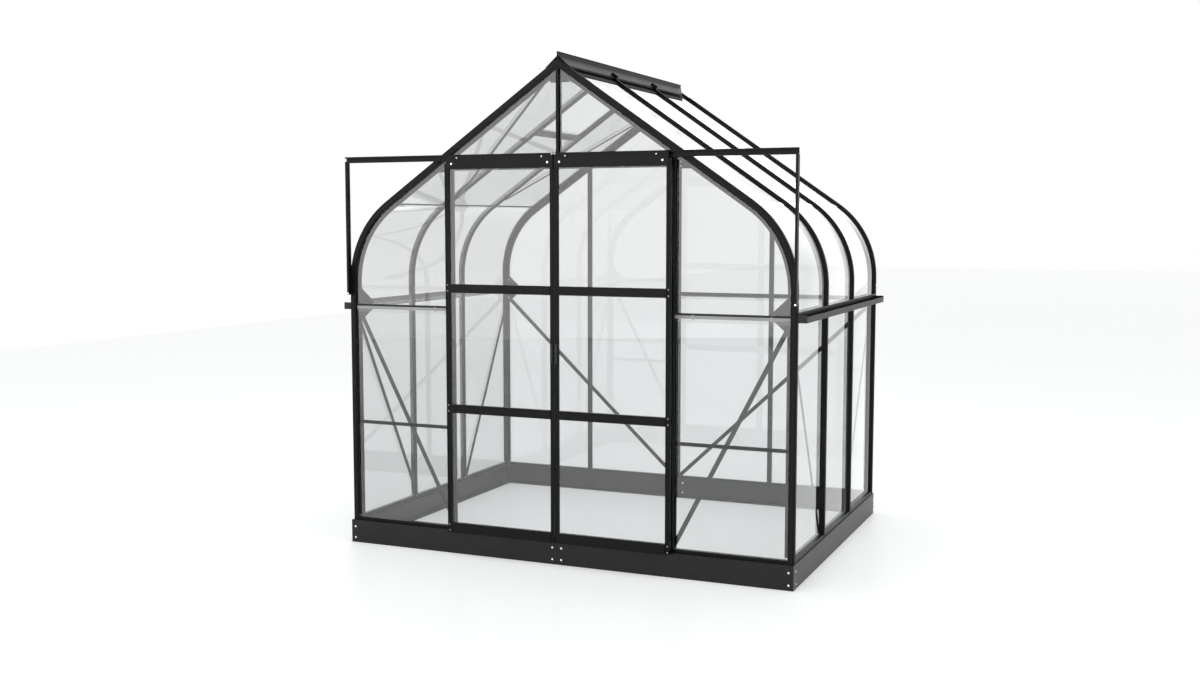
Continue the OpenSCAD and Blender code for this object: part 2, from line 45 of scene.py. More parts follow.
# Shape of the frame that the trim follows, in metres and degrees
house = {
    "wallX": 1.280,          # outer face of the wall bars
    "gableY": 0.934,         # outer face of the gable bars
    "bendHeight": 1.473,     # where the eaves start to curve
    "bendRadius": 0.540,
    "slope": 34.8,
    "barDepth": 0.032,
    "glassIn": 0.022,        # side and roof glass, below the outer face of the bars
    "gableGlassIn": 0.013,
    "glass": 0.003,
    "eave": 1.340,           # joint of the wall panes and the curved panes
    "roofJoint": 1.250,      # joint of the curved panes and the roof panes, down the slope
}
slope = math.radians(house["slope"])
turn = math.pi / 2 - slope
bendX = house["wallX"] - house["bendRadius"]
corner = house["bendRadius"] * math.tan(turn / 2)
apexZ = house["bendHeight"] + corner + house["wallX"] * math.tan(slope)
slopeLength = house["wallX"] / math.cos(slope) - corner
cornerX = house["wallX"] - house["barDepth"]
cornerY = house["gableY"] - house["barDepth"]
barPitch = (2 * house["gableY"] - house["barDepth"]) / 3
sideBarYs = (-barPitch / 2, barPitch / 2)
bayMiddles = (-barPitch, 0.0, barPitch)
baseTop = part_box("base_left")[1].z
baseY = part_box("base_front_left")[0].y
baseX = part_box("base_right")[1].x


# s metres down the slope of one side, out metres above its outer faces
def slopePoint(side, s, y, out=0.0):
    return Vector((side * (s * math.cos(slope) + out * math.sin(slope)), y,
                   apexZ - s * math.sin(slope) + out * math.cos(slope)))


# How far a point lies outside the outer faces of wall, eave and slope
def outside(point):
    x, z = abs(point.x), point.z
    if z < house["bendHeight"]:
        return x - house["wallX"]
    across = Vector((x - bendX, z - house["bendHeight"]))
    if math.atan2(across.y, across.x) < turn:
        return across.length - house["bendRadius"]
    return across.dot(Vector((math.cos(turn), math.sin(turn)))) - house["bendRadius"]


# Materials

def newMaterial(name):
    mat = bpy.data.materials.new(name)
    mat.use_nodes = True
    return mat, mat.node_tree, mat.node_tree.nodes["Principled BSDF"]


def addNode(tree, kind, **values):
    node = tree.nodes.new(kind)
    for key, value in values.items():
        if key in node.inputs:
            node.inputs[key].default_value = value
        else:
            setattr(node, key, value)
    return node


def link(tree, fromSocket, toSocket):
    tree.links.new(fromSocket, toSocket)


def ramp(tree, factor, low, high):
    node = addNode(tree, "ShaderNodeValToRGB")
    node.color_ramp.elements[0].position = 0.3
    node.color_ramp.elements[1].position = 0.7
    node.color_ramp.elements[0].color = (*low, 1)
    node.color_ramp.elements[1].color = (*high, 1)
    link(tree, factor, node.inputs["Fac"])
    return node.outputs["Color"]


def grainyFinish(name, look):
    mat, tree, shader = newMaterial(name)
    coords = addNode(tree, "ShaderNodeTexCoord").outputs["Object"]
    cloud = addNode(tree, "ShaderNodeTexNoise", Scale=look["cloud"], Detail=5.0, Roughness=0.6)
    grain = addNode(tree, "ShaderNodeTexNoise", Scale=look["grain"], Detail=2.0, Roughness=0.5)
    link(tree, coords, cloud.inputs["Vector"])
    link(tree, coords, grain.inputs["Vector"])
    link(tree, ramp(tree, cloud.outputs["Fac"], look["dark"], look["light"]), shader.inputs["Base Color"])
    bump = addNode(tree, "ShaderNodeBump", Strength=look["bump"], Distance=0.0005)
    link(tree, grain.outputs["Fac"], bump.inputs["Height"])
    link(tree, bump.outputs["Normal"], shader.inputs["Normal"])
    gloss = addNode(tree, "ShaderNodeMapRange")
    gloss.inputs["To Min"].default_value = look["roughness"] - look["spread"]
    gloss.inputs["To Max"].default_value = look["roughness"] + look["spread"]
    link(tree, cloud.outputs["Fac"], gloss.inputs["Value"])
    link(tree, gloss.outputs["Result"], shader.inputs["Roughness"])
    shader.inputs["Specular IOR Level"].default_value = look["specular"]
    shader.inputs["Metallic"].default_value = look.get("metal", 0.0)
    return mat


coatLook = {
    "dark": (0.0035, 0.0036, 0.0037), "light": (0.0055, 0.0056, 0.0057),
    "cloud": 6.0,        # patches a metre
    "grain": 900.0,      # orange peel of the powder coat, waves a metre
    "bump": 0.08, "roughness": 0.33, "spread": 0.05, "specular": 0.12,
}
baseLook = {**coatLook, "dark": (0.009, 0.0093, 0.0095), "light": (0.014, 0.0143, 0.0145), "specular": 0.22}
plasticLook = {**coatLook, "dark": (0.014, 0.014, 0.0145), "light": (0.02, 0.02, 0.0205),
               "grain": 1600.0, "bump": 0.15, "roughness": 0.5, "specular": 0.3}
steelLook = {
    "dark": (0.78, 0.79, 0.8), "light": (0.92, 0.93, 0.94), "cloud": 90.0, "grain": 1500.0,
    "bump": 0.05, "roughness": 0.28, "spread": 0.08, "specular": 0.5, "metal": 1.0,
}
darkSteelLook = {**steelLook, "dark": (0.22, 0.22, 0.23), "light": (0.32, 0.32, 0.33), "roughness": 0.4}
lapStripLook = {**plasticLook, "dark": (0.30, 0.305, 0.305), "light": (0.36, 0.365, 0.365), "roughness": 0.4}
sealLook = {**plasticLook, "dark": (0.02, 0.02, 0.02), "light": (0.03, 0.03, 0.03), "roughness": 0.7}

glassLook = {
    "ior": 1.62,
    "lampTint": (0.96, 0.97, 0.97),  # what it lets through of the lamps
    "blue": 0.012,                   # how much less red than blue it lets through
    "smear": 0.0004,                 # faint unevenness of toughened glass
    # what a pane lets through, from straight on (0) to edge on (1): straight on it is the glass's own tint;
    # the rise and fall with viewing angle is painted shade and painted light
    "steps": ((0.0, 0.88), (0.47, 0.71), (0.56, 0.64), (0.65, 0.68), (0.74, 0.95)),
    "paintedSheen": (0.78, 0.87),           # glancing angles over which the pane turns into a painted white sheen: a glow that stands in for reflected light
}
# Roof and curved panes: their own painted shade and light by viewing angle, and for the curved panes their
# own painted sheen
roofGlassLook = {**glassLook, "ior": 1.45,
                 "steps": ((0.0, 0.88), (0.50, 0.75), (0.62, 0.76), (0.70, 0.47), (0.80, 0.45))}
curvedGlassLook = {**glassLook, "ior": 1.45, "paintedSheen": (0.75, 0.85),
                   "steps": ((0.0, 0.88), (0.47, 0.73), (0.56, 0.67), (0.65, 0.71), (0.74, 0.95))}


def clearGlass(name, look):
    mat, tree, shader = newMaterial(name)
    coords = addNode(tree, "ShaderNodeTexCoord").outputs["Object"]
    drift = addNode(tree, "ShaderNodeTexNoise", Scale=1.3, Detail=2.0, Roughness=0.4)
    link(tree, coords, drift.inputs["Vector"])
    facing = addNode(tree, "ShaderNodeLayerWeight", Blend=0.5).outputs["Facing"]
    # The pane's own tint, with painted shade and light that change with the viewing angle
    tintWithPaintedShade = addNode(tree, "ShaderNodeValToRGB")
    while len(tintWithPaintedShade.color_ramp.elements) < len(look["steps"]):
        tintWithPaintedShade.color_ramp.elements.new(0.5)
    for element, (at, level) in zip(tintWithPaintedShade.color_ramp.elements, look["steps"]):
        element.position = at
        element.color = (level * (1 - look["blue"]), level, level, 1)
    link(tree, facing, tintWithPaintedShade.inputs["Fac"])
    link(tree, tintWithPaintedShade.outputs["Color"], shader.inputs["Base Color"])
    wave = addNode(tree, "ShaderNodeBump", Strength=look["smear"], Distance=0.01)
    link(tree, drift.outputs["Fac"], wave.inputs["Height"])
    link(tree, wave.outputs["Normal"], shader.inputs["Normal"])
    # Painted sheen: at glancing angles the pane glows white, a painted reflection of the bright
    # surroundings; it is no lamp
    paintedSheen = addNode(tree, "ShaderNodeMapRange")
    paintedSheen.inputs["From Min"].default_value = look["paintedSheen"][0]
    paintedSheen.inputs["From Max"].default_value = look["paintedSheen"][1]
    link(tree, facing, paintedSheen.inputs["Value"])
    link(tree, paintedSheen.outputs["Result"], shader.inputs["Emission Strength"])
    shader.inputs["Emission Color"].default_value = (1, 1, 1, 1)
    blur = addNode(tree, "ShaderNodeMapRange")
    blur.inputs["From Min"].default_value = 0.9
    blur.inputs["To Max"].default_value = 0.1
    link(tree, drift.outputs["Fac"], blur.inputs["Value"])
    link(tree, blur.outputs["Result"], shader.inputs["Roughness"])
    mat.cycles.emission_sampling = "NONE"
    shader.inputs["Transmission Weight"].default_value = 1.0
    shader.inputs["IOR"].default_value = look["ior"]
    through = addNode(tree, "ShaderNodeBsdfTransparent", Color=(*look["lampTint"], 1))
    mix = addNode(tree, "ShaderNodeMixShader")
    link(tree, addNode(tree, "ShaderNodeLightPath").outputs["Is Shadow Ray"], mix.inputs["Fac"])
    link(tree, shader.outputs["BSDF"], mix.inputs[1])
    link(tree, through.outputs["BSDF"], mix.inputs[2])
    link(tree, mix.outputs["Shader"], tree.nodes["Material Output"].inputs["Surface"])
    return mat


blackCoat = grainyFinish("blackPowderCoat", coatLook)
baseCoat = grainyFinish("basePowderCoat", baseLook)
blackPlastic = grainyFinish("blackPlastic", plasticLook)
brightSteel = grainyFinish("brightSteel", steelLook)
darkSteel = grainyFinish("darkSteel", darkSteelLook)
darkSeal = grainyFinish("glazingSeal", sealLook)
lapPlastic = grainyFinish("lapStrip", lapStripLook)
paneGlass = clearGlass("paneGlass", glassLook)
roofGlass = clearGlass("roofGlass", roofGlassLook)
curvedGlass = clearGlass("curvedGlass", curvedGlassLook)

for name, obj in nodes.items():
    if name.startswith("roof_glass"):
        mat = roofGlass
    elif name.startswith("curved_glass"):
        mat = curvedGlass
    elif "glass" in name:
        mat = paneGlass
    elif name.startswith("base_"):
        mat = baseCoat
    elif name.endswith("_fittings"):
        mat = blackPlastic
    else:
        mat = blackCoat
    obj.data.materials.clear()
    obj.data.materials.append(mat)
print("finishes on the frame")


# Modelling helpers

def clearSelection():
    if bpy.context.object and bpy.context.object.mode != "OBJECT":
        bpy.ops.object.mode_set(mode="OBJECT")
    bpy.ops.object.select_all(action="DESELECT")


def selectOnly(obj):
    clearSelection()
    obj.select_set(True)
    bpy.context.view_layer.objects.active = obj


def applyPlace(obj):
    selectOnly(obj)
    bpy.ops.object.transform_apply(location=True, rotation=True, scale=True)


# Edit mode with only the faces selected for which wanted(face) is true
def editFaces(obj, wanted):
    selectOnly(obj)
    bpy.ops.object.mode_set(mode="EDIT")
    bpy.ops.mesh.select_mode(type="FACE")
    bpy.ops.mesh.select_all(action="DESELECT")
    bpy.ops.object.mode_set(mode="OBJECT")
    for face in obj.data.polygons:
        face.select = wanted(face)
    bpy.ops.object.mode_set(mode="EDIT")


# Cuts a mesh along a plane and closes it; the side the normal points to goes
def cutOff(obj, at, normal):
    selectOnly(obj)
    bpy.ops.object.mode_set(mode="EDIT")
    bpy.ops.mesh.select_all(action="SELECT")
    bpy.ops.mesh.bisect(plane_co=at, plane_no=normal, clear_outer=True, use_fill=True)
    bpy.ops.object.mode_set(mode="OBJECT")


def bevelEdges(obj, width, segments=2):
    selectOnly(obj)
    mod = obj.modifiers.new("bevel", "BEVEL")
    mod.width = width
    mod.segments = segments
    mod.limit_method = "ANGLE"
    bpy.ops.object.modifier_apply(modifier=mod.name)


def smooth(obj, angle=40):
    selectOnly(obj)
    bpy.ops.object.shade_smooth_by_angle(angle=math.radians(angle))


def copyOf(obj, matrix):
    selectOnly(obj)
    bpy.ops.object.duplicate()
    other = bpy.context.object
    other.matrix_world = matrix
    applyPlace(other)
    return other


def joined(name, parts):
    clearSelection()
    for part in parts:
        part.select_set(True)
    bpy.context.view_layer.objects.active = parts[0]
    if len(parts) > 1:
        bpy.ops.object.join()
    whole = bpy.context.object
    whole.name = name
    return whole


# A rectangular bar at its place, turned about Y, with broken edges
def block(size, place, tilt=0.0, bevel=0.0):
    clearSelection()
    bpy.ops.mesh.primitive_cube_add(size=1, location=place, rotation=(0, tilt, 0), scale=size)
    obj = bpy.context.object
    applyPlace(obj)
    if bevel:
        bevelEdges(obj, bevel, 1)
    return obj


# The same between two corners
def span(low, high, bevel=0.0):
    low, high = Vector(low), Vector(high)
    return block(high - low, (low + high) / 2, bevel=bevel)


# Rounding of the edges, by kind of piece
rounding = {
    "fine": 0.0004, "plate": 0.0006, "pin": 0.0008, "lug": 0.001,
    "bead": 0.0012, "barEnd": 0.0016, "socket": 0.002,
}


def finishPiece(obj, mat, body):
    obj.data.materials.clear()
    obj.data.materials.append(mat)
    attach(obj, body)
    return obj


# Bar caps: the raised strip along the outer face of every bar

capLook = {
    "rise": 0.0024, "width": 0.020, "groove": 0.0012, "grooveIn": 0.0055, "steps": 18,
    "foot": 0.001,       # gap above the base
    "ridgeGap": 0.080,   # side caps stop this far from the ridge line
    "pastRidge": 0.020,  # gable caps run on past it, to be cut off there
}


# A strip from z0 up the wall, round the eave and up the slope to sEnd from the ridge line
def sweptStrip(side, x, y, xSize, ySize, z0, sEnd):
    clearSelection()
    bpy.ops.mesh.primitive_plane_add(size=1, location=(side * x, y, z0))
    obj = bpy.context.object
    bpy.ops.object.mode_set(mode="EDIT")
    bpy.ops.transform.resize(value=(xSize, ySize, 1), center_override=(side * x, y, z0))
    rise = house["bendHeight"] - z0
    bpy.ops.mesh.extrude_region_move(TRANSFORM_OT_translate={"value": (0, 0, rise)})
    bpy.ops.mesh.spin(steps=capLook["steps"], angle=turn, axis=(0, side, 0),
                      center=(side * bendX, y, house["bendHeight"]))
    run = slopeLength - sEnd
    way = (-side * math.cos(slope) * run, 0, math.sin(slope) * run)
    bpy.ops.mesh.extrude_region_move(TRANSFORM_OT_translate={"value": way})
    bpy.ops.mesh.select_all(action="SELECT")
    bpy.ops.mesh.remove_doubles(threshold=0.00001)
    bpy.ops.mesh.normals_make_consistent(inside=False)
    bpy.ops.object.mode_set(mode="OBJECT")
    applyPlace(obj)
    return obj


def grooved(obj, wanted):
    editFaces(obj, wanted)
    bpy.ops.mesh.inset(thickness=capLook["grooveIn"], depth=-capLook["groove"], use_boundary=True)
    bpy.ops.object.mode_set(mode="OBJECT")
    return obj


def sideCap(side):
    rise, width = capLook["rise"], capLook["width"]
    cap = sweptStrip(side, house["wallX"] + rise / 2, 0, rise, width,
                     baseTop + capLook["foot"], capLook["ridgeGap"])
    return grooved(cap, lambda f: outside(f.center) > rise * 0.8 and abs(f.normal.y) < 0.3)


def gableCap(side, front):
    rise, width = capLook["rise"], capLook["width"]
    x = house["wallX"] - house["barDepth"] / 2
    y = front * (house["gableY"] + rise / 2)
    cap = sweptStrip(side, x, y, width, rise, baseTop + capLook["foot"], -capLook["pastRidge"])
    cutOff(cap, (0, 0, 0), (-side, 0, 0))
    return grooved(cap, lambda f: f.normal.y * front > 0.9)


def barCaps():
    for side, sideName in ((-1, "left"), (1, "right")):
        first = sideCap(side)
        edgeY = house["gableY"] - house["barDepth"] / 2
        for y, barName in ((-edgeY, "corner_front"), (sideBarYs[0], "bar_front"),
                           (sideBarYs[1], "bar_back"), (edgeY, "corner_back")):
            cap = copyOf(first, Matrix.Translation((0, y, 0)))
            cap.name = f"cap_{sideName}_{barName}"
            smooth(cap, 25)
            finishPiece(cap, blackCoat, "house")
        bpy.data.objects.remove(first)
        for front, endName in ((-1, "front"), (1, "back")):
            cap = gableCap(side, front)
            cap.name = f"gable_cap_{endName}_{sideName}"
            smooth(cap, 25)
            finishPiece(cap, blackCoat, "house")
    print("bar caps")


# Inner legs of the corner bars, behind the panes of the gable and the wall

legLook = {
    "width": 0.022, "thick": 0.003, "foot": 0.152,
    "ridgeX": 0.014,      # half the gap between the gable legs at the ridge
    "ridgeGap": 0.05,     # wall legs stop this far from the ridge line
}


def cornerLegs():
    wide, thin, foot = legLook["width"], legLook["thick"], legLook["foot"]
    for side, sideName in ((-1, "left"), (1, "right")):
        for end, endName in ((-1, "front"), (1, "back")):
            y = end * (cornerY + thin / 2)
            gable = sweptStrip(side, cornerX - wide / 2, y, wide, thin, foot, 0.0)
            cutOff(gable, (side * legLook["ridgeX"], 0, 0), (-side, 0, 0))
            y = end * (cornerY - wide / 2)
            wall = sweptStrip(side, cornerX + thin / 2, y, thin, wide, foot, legLook["ridgeGap"])
            leg = joined(f"corner_leg_{endName}_{sideName}", [gable, wall])
            smooth(leg, 25)
            finishPiece(leg, blackCoat, "house")
    print("corner legs")


# Screws

screwLook = {"large": 0.0054, "small": 0.0041, "sides": 12}


# Round-headed screw on a thin washer, standing on z = 0
def screwHead(radius):
    clearSelection()
    h = radius * 0.56
    bpy.ops.mesh.primitive_cylinder_add(vertices=screwLook["sides"], radius=radius,
                                        depth=h * 0.5, location=(0, 0, h * 0.25))
    obj = bpy.context.object
    applyPlace(obj)
    editFaces(obj, lambda f: f.normal.z > 0.9)
    bpy.ops.mesh.inset(thickness=radius * 0.2, depth=0)
    bpy.ops.mesh.extrude_region_move(TRANSFORM_OT_translate={"value": (0, 0, h * 0.32)})
    bpy.ops.mesh.inset(thickness=radius * 0.22, depth=h * 0.18)
    bpy.ops.mesh.inset(thickness=radius * 0.2, depth=0)
    bpy.ops.mesh.extrude_region_move(TRANSFORM_OT_translate={"value": (0, 0, -h * 0.3)})
    bpy.ops.object.mode_set(mode="OBJECT")
    return obj


def screwsAt(name, spots, body, head, mat):
    parts = []
    for place, way in spots:
        quat = Vector(way).to_track_quat("Z", "Y")
        parts.append(copyOf(head, Matrix.Translation(place) @ quat.to_matrix().to_4x4()))
    piece = joined(name, parts)
    smooth(piece, 30)
    return finishPiece(piece, mat, body)


screwPlaces = {
    "baseHigh": 0.090, "baseLow": 0.027, "cornerIn": 0.025, "spliceOut": 0.026,
    "backIn": 0.006, "sideIn": 0.042,      # from the base's back face, and from its corners along the side
    "plateY": 0.899, "plateThick": 0.003,
    "eavePlate": ((1.229, 1.413), (1.230, 1.362), (1.230, 1.338), (1.182, 1.338), (1.230, 1.290)),
    "ridgePlate": ((0.020, 2.583), (0.050, 2.555)),
    "gusset": ((0.668, 2.112), (0.668, 2.089), (0.735, 2.089)),
    "lowRailXs": (0.919, 1.229), "lowRailY": -0.914, "lowRailZ": 0.6885,
    "backRailXs": (0.626, 1.150), "backRailY": 0.9135, "backRailZ": 1.3425,
    "eaveYs": (-0.925, -0.911, 0.911, 0.925), "eaveZ": 1.424,
    "stay": (1.2785, -0.962, 1.412),
    "barX": 1.248, "barAside": 0.006, "barZs": (0.146, 1.388, 1.414),
    "barRoof": (1.175, -0.035),            # down the slope, and below its outer face
}


def frameScrews(large, small):
    s = screwPlaces
    base, rest, tiny = [], [], []
    for up in (s["baseHigh"], s["baseLow"]):
        for x in (-s["spliceOut"], s["spliceOut"], baseX - s["cornerIn"], s["cornerIn"] - baseX):
            base.append(((x, baseY, up), (0, -1, 0)))
        for x in (-s["spliceOut"], s["spliceOut"]):
            base.append(((x, -baseY - s["backIn"], up), (0, -1, 0)))
        for side in (-1, 1):
            for end in (-1, 1):
                base.append(((side * baseX, end * (-baseY - s["sideIn"]), up), (side, 0, 0)))
    screwsAt("base_screws", base, "house", large, brightSteel)
    for side in (-1, 1):
        for end in (-1, 1):
            inward = (0, -end, 0)
            for way in (inward, (0, end, 0)):
                y = end * (s["plateY"] + (s["plateThick"] if way[1] * end > 0 else 0))
                for x, z in s["eavePlate"] + s["ridgePlate"]:
                    tiny.append(((side * x, y, z), way))
        for x, z in s["gusset"]:
            tiny.append(((side * x, -s["plateY"] - s["plateThick"], z), (0, -1, 0)))
        for x in s["lowRailXs"]:
            tiny.append(((side * x, s["lowRailY"], s["lowRailZ"]), (0, 1, 0)))
        for x in s["backRailXs"]:
            tiny.append(((side * x, s["backRailY"], s["backRailZ"]), (0, -1, 0)))
        for y in s["eaveYs"]:
            tiny.append(((side * (house["wallX"] + capLook["rise"]), y, s["eaveZ"]), (side, 0, 0)))
        x, y, z = s["stay"]
        rest.append(((side * x, y, z), (0, -1, 0)))
        down = slopePoint(side, 0, 0, -1) - slopePoint(side, 0, 0, 0)
        for y in sideBarYs:
            for z in s["barZs"]:
                tiny.append(((side * s["barX"], y - s["barAside"], z), (-side, 0, 0)))
            tiny.append((slopePoint(side, s["barRoof"][0], y, s["barRoof"][1]), tuple(down)))
    screwsAt("stay_screws", rest, "house", large, brightSteel)
    screwsAt("frame_screws", tiny, "house", small, brightSteel)
    print("frame screws")


leafScrewPlaces = {
    "headerY": -0.982, "header": ((0.600, 2.118), (0.034, 2.118)),
    "rollers": ((0.567, 2.148), (0.067, 2.148), (0.008, 2.160)),
    "stileX": 0.633, "stileY": -0.977, "stileZs": (1.473, 1.441, 0.822, 0.790, 0.166, 0.134),
}


def leafScrews(large, small):
    s = leafScrewPlaces
    for side, body in ((-1, "door_left"), (1, "door_right")):
        header = [((side * x, s["headerY"], z), (0, -1, 0)) for x, z in s["header"]]
        screwsAt(f"{body}_header_screws", header, body, large, brightSteel)
        rollers = [((side * x, s["headerY"], z), (0, -1, 0)) for x, z in s["rollers"]]
        screwsAt(f"{body}_roller_screws", rollers, body, small, brightSteel)
        stile = [((side * s["stileX"], s["stileY"], z), (0, -1, 0)) for z in s["stileZs"]]
        screwsAt(f"{body}_stile_screws", stile, body, small, darkSteel)
    print("leaf screws")


# Door leaf trim: lips of the rails and header, stile ribs, handles and rollers

def mirrorX(obj):
    selectOnly(obj)
    bpy.ops.object.mode_set(mode="EDIT")
    bpy.ops.mesh.select_all(action="SELECT")
    bpy.ops.transform.resize(value=(-1, 1, 1), center_override=(0, 0, 0))
    bpy.ops.mesh.normals_make_consistent(inside=False)
    bpy.ops.object.mode_set(mode="OBJECT")


leafLook = {
    "lip": 0.0018, "lipHeight": 0.0055, "railFront": -0.982, "stileFront": -0.977,
    "rails": ((0.123, 0.054), (0.781, 0.046), (1.432, 0.046)),   # foot and height of each rail
    "railSpan": (0.024, 0.618), "headerSpan": (0.005, 0.631),
    "header": (2.0897, 2.150, 2.1637),                           # foot, fold and top
    "stileRibs": (0.0045, 0.0175, 0.6205, 0.6395), "ribWidth": 0.004, "stileSpan": (0.125, 2.088),
}


def leafTrim(side, body):
    lk = leafLook
    high = lk["lipHeight"]
    bars = []
    for low, tall in lk["rails"]:
        for z in (low, low + tall - high):
            bars.append((lk["railSpan"], lk["railFront"], (z, z + high)))
    foot, fold, top = lk["header"]
    for z in (foot, top - high, fold - high):
        bars.append((lk["headerSpan"], lk["railFront"], (z, z + high)))
    for x in lk["stileRibs"]:
        bars.append(((x, x + lk["ribWidth"]), lk["stileFront"], lk["stileSpan"]))
    parts = []
    for (x0, x1), front, (z0, z1) in bars:
        parts.append(span((x0, front - lk["lip"], z0), (x1, front, z1), rounding["plate"]))
    trim = joined(f"{body}_trim", parts)
    if side < 0:
        mirrorX(trim)
    return finishPiece(trim, blackCoat, body)


handleLook = {
    "low": (0.006, -0.986, 1.076), "high": (0.020, -0.977, 1.178),
    "rim": 0.003, "hollow": 0.0015, "pad": 0.001,
}


def leafHandle(side, body):
    h = handleLook
    handle = span(h["low"], h["high"])
    editFaces(handle, lambda f: f.normal.y < -0.9)
    bpy.ops.mesh.inset(thickness=h["rim"], depth=-h["hollow"])
    bpy.ops.mesh.inset(thickness=h["pad"], depth=h["pad"])
    bpy.ops.object.mode_set(mode="OBJECT")
    bevelEdges(handle, rounding["pin"], 2)
    smooth(handle, 40)
    handle.name = f"{body}_handle"
    if side < 0:
        mirrorX(handle)
    finishPiece(handle, blackPlastic, body)
    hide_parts(f"{body}_fittings")


rollerLook = {
    "radius": 0.0125, "width": 0.0105, "groove": 0.0022, "grooveIn": 0.0028,
    "dish": (0.004, 0.0012), "hub": (0.003, 0.001),    # how far in and how deep on the wheel's sides
    "axle": 0.003, "axleLength": 0.022,
    "xs": (0.067, 0.568), "y": -0.95325, "z": 2.14945,
}


def rollerWheel():
    r = rollerLook
    clearSelection()
    bpy.ops.mesh.primitive_cylinder_add(vertices=32, radius=r["radius"], depth=r["width"])
    obj = bpy.context.object
    editFaces(obj, lambda f: abs(f.normal.z) < 0.1)
    bpy.ops.mesh.inset(thickness=r["grooveIn"], depth=-r["groove"], use_even_offset=True)
    bpy.ops.object.mode_set(mode="OBJECT")
    editFaces(obj, lambda f: abs(f.normal.z) > 0.9)
    bpy.ops.mesh.inset(thickness=r["dish"][0], depth=-r["dish"][1])
    bpy.ops.mesh.inset(thickness=r["hub"][0], depth=r["hub"][1])
    bpy.ops.object.mode_set(mode="OBJECT")
    bevelEdges(obj, rounding["fine"], 1)
    clearSelection()
    bpy.ops.mesh.primitive_cylinder_add(vertices=16, radius=r["axle"], depth=r["axleLength"])
    axle = bpy.context.object
    bevelEdges(axle, rounding["plate"], 1)
    wheel = joined("rollerWheel", [obj, axle])
    wheel.rotation_euler = (math.pi / 2, 0, 0)
    applyPlace(wheel)
    smooth(wheel, 40)
    return wheel


def leafRollers(wheel, side, body):
    y, z = rollerLook["y"], rollerLook["z"]
    parts = [copyOf(wheel, Matrix.Translation((side * x, y, z))) for x in rollerLook["xs"]]
    finishPiece(joined(f"{body}_rollers", parts), blackPlastic, body)


def doorTrim():
    wheel = rollerWheel()
    for side, body in ((-1, "door_left"), (1, "door_right")):
        leafTrim(side, body)
        leafHandle(side, body)
        leafRollers(wheel, side, body)
    bpy.data.objects.remove(wheel)
    print("door trim")


# Laps of the panes, with their clips

lapLook = {
    "above": 0.003,                        # foot of the dark bar, above the eave joint
    "dark": 0.0115, "strip": 0.016, "overlap": 0.034, "bar": 0.0022,
    "gap": 0.0003, "wallGap": 0.0004,      # air between a lap and its pane, on gables and elsewhere
    "lapThick": 0.0015, "wallLap": (0.014, 0.002),
    "gableSpans": {-1: ((0.648, 1.246),), 1: ((0.008, 0.618), (0.634, 1.246))},   # by end
    "clipWidth": 0.009, "clipThick": 0.002, "clipLength": 0.026,
    "clipIn": 0.095, "clipDown": 0.008, "clipUp": 0.0008,
    "bayIn": 0.010,                        # from the middle of a side bar to a lap's end
    "roofBar": 0.004, "roofLap": 0.016,    # below the joint of the curved and the roof panes
    "roofLapWidth": 0.022, "roofClipLength": 0.024, "roofClipIn": 0.09, "roofClipUp": 0.0014,
}


def lapsAndClips():
    p = lapLook
    bars, strips, laps, clips = [], [], [], []
    gableY = house["gableY"] - house["gableGlassIn"]
    z = house["eave"] + p["above"]
    t, thick, edge, gap = house["glass"], p["bar"], rounding["fine"], p["gap"]
    for end in (-1, 1):
        face = end * gableY
        y0, y1 = sorted((face, face + end * thick))
        glassY = sorted((face + end * gap, face + end * (gap + p["lapThick"])))
        for side in (-1, 1):
            for x0, x1 in p["gableSpans"][end]:
                low, high = sorted((side * x0, side * x1))
                bars.append(span((low, y0, z), (high, y1 + gap, z + p["dark"]), edge))
                strips.append(span((low, y0, z - p["strip"]), (high, y1, z), edge))
                laps.append(span((low, glassY[0], z - p["overlap"]), (high, glassY[1], z - p["strip"])))
                for x in (low + p["clipIn"], high - p["clipIn"]):
                    place = (x, face + end * (thick + p["clipUp"]), z - p["clipDown"])
                    size = (p["clipWidth"], p["clipThick"], p["clipLength"])
                    clips.append(block(size, place, bevel=rounding["plate"]))
    for side in (-1, 1):
        for middle in bayMiddles:
            half = barPitch / 2 - p["bayIn"]
            lapLine = house["roofJoint"] + p["roofLap"]
            place = slopePoint(side, house["roofJoint"] + p["roofBar"], middle,
                               -house["glassIn"] - t - thick / 2)
            bars.append(block((p["dark"], 2 * half, thick), place, side * slope))
            place = slopePoint(side, lapLine, middle, -house["glassIn"] + t / 2 + p["wallGap"])
            laps.append(block((p["roofLapWidth"], 2 * half, t), place, side * slope))
            for y in (middle - half + p["roofClipIn"], middle + half - p["roofClipIn"]):
                place = slopePoint(side, lapLine, y, -house["glassIn"] + t + p["roofClipUp"])
                size = (p["roofClipLength"], p["clipWidth"], p["clipThick"])
                clips.append(block(size, place, side * slope, rounding["plate"]))
            x = house["wallX"] - house["glassIn"] + p["wallGap"]
            low, high = sorted((side * x, side * (x + t)))
            down, up = p["wallLap"]
            laps.append(span((low, middle - half, z - down), (high, middle + half, z + up)))
    finishPiece(joined("lap_bars", bars), darkSeal, "house")
    finishPiece(joined("lap_strips", strips), lapPlastic, "house")
    finishPiece(joined("pane_laps", laps), paneGlass, "house")
    finishPiece(joined("lap_clips", clips), darkSteel, "house")
    print("laps and clips")


# Gutter ends and outlets

gutterLook = {
    "wall": 0.006, "sideIn": 0.0003, "top": 0.012,       # the cover stays this far below the rim
    "foot": (0.010, 0.0096, 0.007), "footIn": 0.010, "footOut": 0.004,
    "socketZ": (0.010, 0.024), "socketIn": 0.012, "socketBack": 0.004, "socketOut": 0.003,
}


